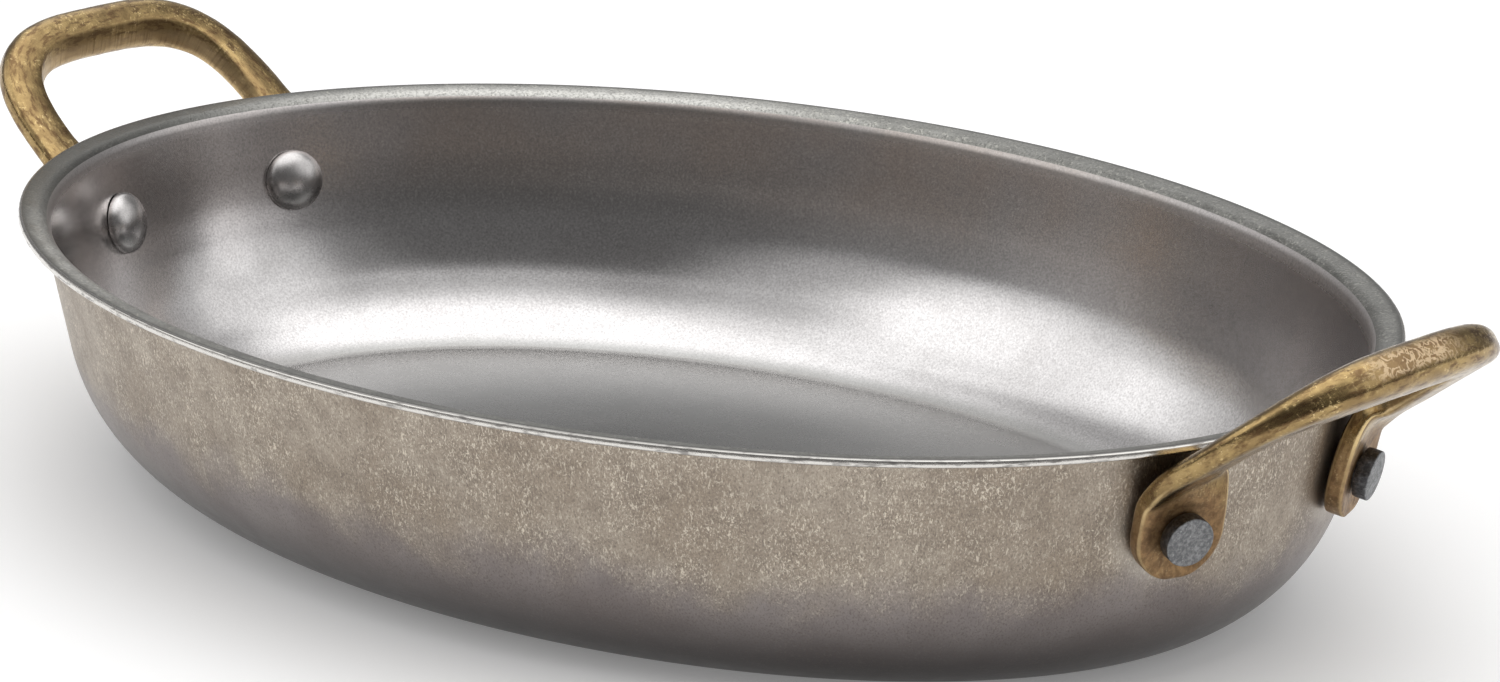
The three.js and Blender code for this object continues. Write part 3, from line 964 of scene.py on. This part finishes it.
def edge_steel():
    """Bright nicked edge, with painted shade where it turns into the lip."""
    f = Finish("steel_edge")
    nicks = f.noise((2.6, 2.6, 0.5), 4.0, 0.6)
    color = f.mix(f.spread(nicks, 0.34, 0.48), EDGE_NICK, EDGE_BRIGHT)
    # painted shade on the half of the edge that turns into the lip
    color = f.mix(f.spread(f.oval_radius(0.0), 0.9985, 0.9965, 0.0, 0.75), color, EDGE_TOP_PAINTED_SHADE)
    rough = f.spread(nicks, 0.3, 0.6, 0.34, 0.22)
    normal = f.bump(f.noise((1.4, 1.4, 0.5), 3.0), 0.02)
    return f.finish(color, rough, normal)


def dome_steel():
    """Satin steel of the domed rivet heads."""
    f = Finish("steel_dome")
    clouds = f.noise(2.2, 3.0)
    color = f.mix(f.spread(clouds, 0.3, 0.7), DOME_DARK, DOME_LIGHT)
    grain = f.noise(0.24, 2.0)
    color = f.mix(f.spread(grain, 0.4, 0.75, 0.0, 0.4), color, DOME_PORE)
    rough = f.spread(clouds, 0.3, 0.7, 0.25, 0.29)
    normal = f.bump(grain, 0.004)
    return f.finish(color, rough, normal)


def head_steel(name, dark, light, speck):
    """Dull rough steel of the flat rivet heads."""
    f = Finish(name)
    grain = f.noise(0.5, 4.0, 0.65)
    color = f.mix(f.spread(grain, 0.38, 0.66), dark, light)
    specks = f.spread(f.noise(0.35, 2.0), 0.62, 0.74)
    color = f.mix(f.times(specks, 0.6), color, speck)
    rough = f.spread(f.noise(0.9, 2.0), 0.3, 0.7, 0.40, 0.55)
    normal = f.bump(grain, 0.06)
    return f.finish(color, rough, normal)


def antique_brass():
    """Brown patina over brass, earthy at the lugs, bright where worn, filed inside the bar;
    painted light low on the filed face, painted highlights on the pits.
    """
    f = Finish("antique_brass")
    filed, pitted, worn = f.layer("filed"), f.layer("pitted"), f.layer("worn")
    bar = f.layer("bar", "Vector")
    clouds = f.noise(3.4, 4.0, 0.6)
    patches = f.noise((2.0, 0.75, 0.75), 4.0, 0.62, place=bar)
    color = f.mix(f.spread(clouds, 0.34, 0.66), BRASS_DARK, BRASS_LIGHT)
    color = f.mix(f.spread(patches, 0.46, 0.64, 0.0, 0.8), color, BRASS_PATINA)
    lug = f.spread(f.lug_distance(), 8.6, 5.8)
    earthy = f.mix(f.spread(f.noise(1.1, 4.0, 0.65), 0.36, 0.64), EARTHY_DARK, EARTHY_LIGHT)
    color = f.mix(f.times(lug, 0.85), color, earthy)
    specks = f.spread(f.noise(0.42, 3.0, 0.6), 0.55, 0.67, 0.0, 0.8)
    specks = f.times(specks, f.spread(clouds, 0.42, 0.64, 0.12, 1.0))
    rubbed_and_painted_highlight = f.plus(f.times(worn, 0.55), f.times(patches, 0.55))
    bright = f.most(specks, f.spread(rubbed_and_painted_highlight, 0.55, 0.95))
    bright = f.times(bright, f.spread(lug, 0.0, 1.0, 0.8, 0.36))
    color = f.mix(bright, color, BRASS_BRIGHT)
    # coiled pits on the grip's strip, painted bright as highlights
    coil_pits_and_painted_highlight = f.math("ABSOLUTE", f.minus(f.noise(1.1, 2.0, 0.5, 0.9), 0.5))
    coil_pits_and_painted_highlight = f.times(f.spread(coil_pits_and_painted_highlight, 0.085, 0.03), pitted)
    color = f.mix(f.times(pitted, 0.55), color, BRASS_PITTED)
    color = f.mix(f.times(coil_pits_and_painted_highlight, 0.75), color, BRASS_COIL_PAINTED_HIGHLIGHT)
    strokes = f.noise((0.5, 30.0, 30.0), 2.0, place=bar)
    faint = f.times(filed, f.spread(clouds, 0.36, 0.60, 0.15, 1.0))
    # filed face paler towards its underside as painted light; its upper part stays darker as
    # painted shade
    filed_painted_light = f.times(filed, f.spread(f.axis(THROUGH, bar), -1.6, -0.2, 0.0, 0.7))
    color = f.mix(filed_painted_light, color, BRASS_FILED_PAINTED_LIGHT)
    cut = f.times(f.spread(strokes, 0.48, 0.62, 0.0, 0.5), faint)
    color = f.mix(cut, color, BRASS_STROKE)
    rough = f.plus(
        f.spread(patches, 0.3, 0.7, 0.18, 0.28),
        f.times(lug, 0.22),
        f.times(pitted, 0.2),
        f.times(filed, 0.16),
    )
    normal = f.bump(f.noise(2.4, 3.0), 0.05)
    normal = f.bump(patches, 0.02, normal)
    normal = f.bump(f.minus(specks, coil_pits_and_painted_highlight), 0.02, normal)
    normal = f.bump(f.noise(0.28, 3.0), 0.006, normal)
    normal = f.bump(f.times(strokes, faint), 0.03, normal)
    f.plug(f.spread(lug, 0.0, 1.0, 1.0, 0.65), f.shader.inputs["Metallic"])
    return f.finish(color, rough, normal)


# Assembly

def place(piece, node, slot):
    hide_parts(node)
    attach(piece, "root")


def assemble():
    bowl = [outside_steel(), edge_steel(), lip_steel(), inside_steel()]
    rivets = [
        dome_steel(),
        head_steel("steel_head", *HEAD_FACE),
        # the side: the head's steel in darker colours, as painted shade
        head_steel("steel_head_side_painted_shade", *HEAD_SIDE_PAINTED_SHADE),
    ]
    brass = antique_brass()
    place(bowl_piece(bowl), "dish_body", "bowl_steel")
    for side_x, end in ((RIGHT, "right"), (LEFT, "left")):
        place(handle_piece(f"loop_{end}", side_x, brass), f"handle_{end}", "handle_brass")
        for side_y, side in ((FAR, "far"), (NEAR, "near")):
            label = f"{end}_{side}"
            rivet = rivet_piece(f"stud_{label}", rivet_seat(side_x, side_y), rivets)
            place(rivet, f"rivet_{label}", "rivet_steel")


# Stage

FLOOR_REACH = 4.0  # metres
FLOOR_PAINT = (0.9, 0.9, 0.9, 1.0)
FLOOR_LIFT = 0.18  # how much paler the floor is to the camera and in reflections
WHITE = (1.0, 1.0, 1.0, 1.0)


def studio():
    low, high = -FLOOR_REACH, FLOOR_REACH
    corners = [(low, low, 0), (high, low, 0), (high, high, 0), (low, high, 0)]
    mesh = bpy.data.meshes.new("floor")
    mesh.from_pydata(corners, [], [(0, 1, 2, 3)])
    floor = bpy.data.objects.new("floor", mesh)
    bpy.context.scene.collection.objects.link(floor)
    paint = bpy.data.materials.new("floor_paint")
    paint.use_nodes = True
    tree = paint.node_tree
    shader = tree.nodes["Principled BSDF"]
    shader.inputs["Base Color"].default_value = FLOOR_PAINT
    shader.inputs["Roughness"].default_value = 0.9
    shader.inputs["Specular IOR Level"].default_value = 0.1
    shader.inputs["Emission Color"].default_value = WHITE
    path = tree.nodes.new("ShaderNodeLightPath")
    seen = path.outputs["Is Camera Ray"]
    for label in ("Is Glossy Ray", "Is Transmission Ray"):
        either = tree.nodes.new("ShaderNodeMath")
        either.operation = "MAXIMUM"
        tree.links.new(seen, either.inputs[0])
        tree.links.new(path.outputs[label], either.inputs[1])
        seen = either.outputs[0]
    lift = tree.nodes.new("ShaderNodeMath")
    lift.operation = "MULTIPLY"
    lift.inputs[1].default_value = FLOOR_LIFT
    tree.links.new(seen, lift.inputs[0])
    tree.links.new(lift.outputs[0], shader.inputs["Emission Strength"])
    mesh.materials.append(paint)


# Soft lights of the studio: direction, cosine where each fades in, cosine where it is full,
# strength, colour. The last but one lights from all round, and the last from below.
NEUTRAL = (1.0, 1.0, 1.0)
DIM = (1.0, 0.985, 0.98)
WARM = (1.0, 0.76, 0.62)
LIGHTS = (
    ((0.0, 0.0, 1.0), 0.66, 0.95, 1.42, NEUTRAL),
    ((0.0, 0.0, 1.0), 0.82, 0.97, 0.3, NEUTRAL),
    ((-0.67, -0.5, 0.54), 0.883, 0.978, 0.95, NEUTRAL),
    ((-0.59, -0.66, 0.47), 0.951, 0.99, 0.32, NEUTRAL),
    ((-0.34, -0.73, 0.59), 0.899, 0.99, 0.45, NEUTRAL),
    ((-0.73, -0.13, 0.67), 0.866, 0.99, 0.22, NEUTRAL),
    ((-0.91, -0.24, 0.34), 0.961, 0.995, 0.55, NEUTRAL),
    ((0.73, 0.42, 0.54), 0.866, 0.978, 0.6, NEUTRAL),
    ((0.53, 0.53, 0.67), 0.866, 0.985, 0.15, NEUTRAL),
    ((0.79, 0.53, 0.31), 0.978, 0.998, 0.4, NEUTRAL),
    ((0.46, 0.8, 0.37), 0.951, 0.995, 0.35, NEUTRAL),
    ((0.73, 0.13, 0.67), 0.848, 0.99, 0.19, NEUTRAL),
    ((0.32, 0.56, 0.77), 0.906, 0.99, 0.3, NEUTRAL),
    ((-0.44, 0.44, 0.79), 0.883, 0.99, 0.4, NEUTRAL),
    ((-0.5, 0.87, 0.2), 0.0, 0.8, 0.1, NEUTRAL),
    ((-0.62, 0.68, 0.38), 0.8, 0.97, 0.2, NEUTRAL),
    ((-0.5, 0.57, 0.65), 0.95, 0.99, 0.6, NEUTRAL),
    ((0.0, 0.0, 1.0), -2.0, -1.5, 0.145, DIM),
    ((0.0, 0.0, -1.0), -0.2, -0.14, 0.03, WARM),
)


def sky():
    world = bpy.data.worlds.new("studio")
    bpy.context.scene.world = world
    world.use_nodes = True
    tree = world.node_tree
    tree.nodes.clear()
    ray = tree.nodes.new("ShaderNodeTexCoord").outputs["Generated"]
    labels = ("From Min", "From Max", "To Min", "To Max")
    total = None
    for direction, low, high, strength, color in LIGHTS:
        dot = tree.nodes.new("ShaderNodeVectorMath")
        dot.operation = "DOT_PRODUCT"
        dot.inputs[1].default_value = Vector(direction).normalized()
        tree.links.new(ray, dot.inputs[0])
        spread = tree.nodes.new("ShaderNodeMapRange")
        spread.interpolation_type = "SMOOTHSTEP"
        tree.links.new(dot.outputs["Value"], spread.inputs["Value"])
        for label, number in zip(labels, (low, high, 0.0, strength)):
            spread.inputs[label].default_value = number
        light = tree.nodes.new("ShaderNodeBackground")
        light.inputs["Color"].default_value = (*color, 1.0)
        tree.links.new(spread.outputs["Result"], light.inputs["Strength"])
        if total is None:
            total = light
            continue
        add = tree.nodes.new("ShaderNodeAddShader")
        tree.links.new(total.outputs[0], add.inputs[0])
        tree.links.new(light.outputs[0], add.inputs[1])
        total = add
    out = tree.nodes.new("ShaderNodeOutputWorld")
    tree.links.new(total.outputs[0], out.inputs["Surface"])


# Camera fitted to the photo, placed from the middle of the rim.
CAMERA_TURN = math.radians(42.46)
CAMERA_RISE = math.radians(16.722)
CAMERA_ROLL = math.radians(0.655)
CAMERA_DISTANCE = 775.772  # millimetres, as the next two
CAMERA_ACROSS = 7.633
CAMERA_DOWN = 11.464
FOCAL_LENGTH = 6060.155  # pixels of the photo
PHOTO_WIDTH = 1500
SENSOR_WIDTH = 36.0


def camera():
    turn, rise, roll = CAMERA_TURN, CAMERA_RISE, CAMERA_ROLL
    right = Vector((math.cos(turn), math.sin(turn), 0))
    back = Vector((
        math.sin(turn) * math.cos(rise),
        -math.cos(turn) * math.cos(rise),
        math.sin(rise),
    ))
    up = right.cross(-back)
    across = right * math.cos(roll) + up * math.sin(roll)
    upward = up * math.cos(roll) - right * math.sin(roll)
    spot = back * CAMERA_DISTANCE + across * CAMERA_ACROSS - upward * CAMERA_DOWN
    spot += UP * DISH_DEPTH
    lens = bpy.data.cameras.new("camera")
    lens.sensor_width = SENSOR_WIDTH
    lens.lens = FOCAL_LENGTH / PHOTO_WIDTH * SENSOR_WIDTH
    lens.clip_start, lens.clip_end = 0.01, 100.0
    eye = bpy.data.objects.new("camera", lens)
    rows = Matrix((across, upward, back)).transposed().to_4x4()
    eye.matrix_world = Matrix.Translation(spot * MM) @ rows
    bpy.context.scene.collection.objects.link(eye)
    bpy.context.scene.camera = eye


assemble()
studio()
sky()
camera()
bpy.context.scene.view_settings.view_transform = "Standard"

bpy.context.view_layer.update()
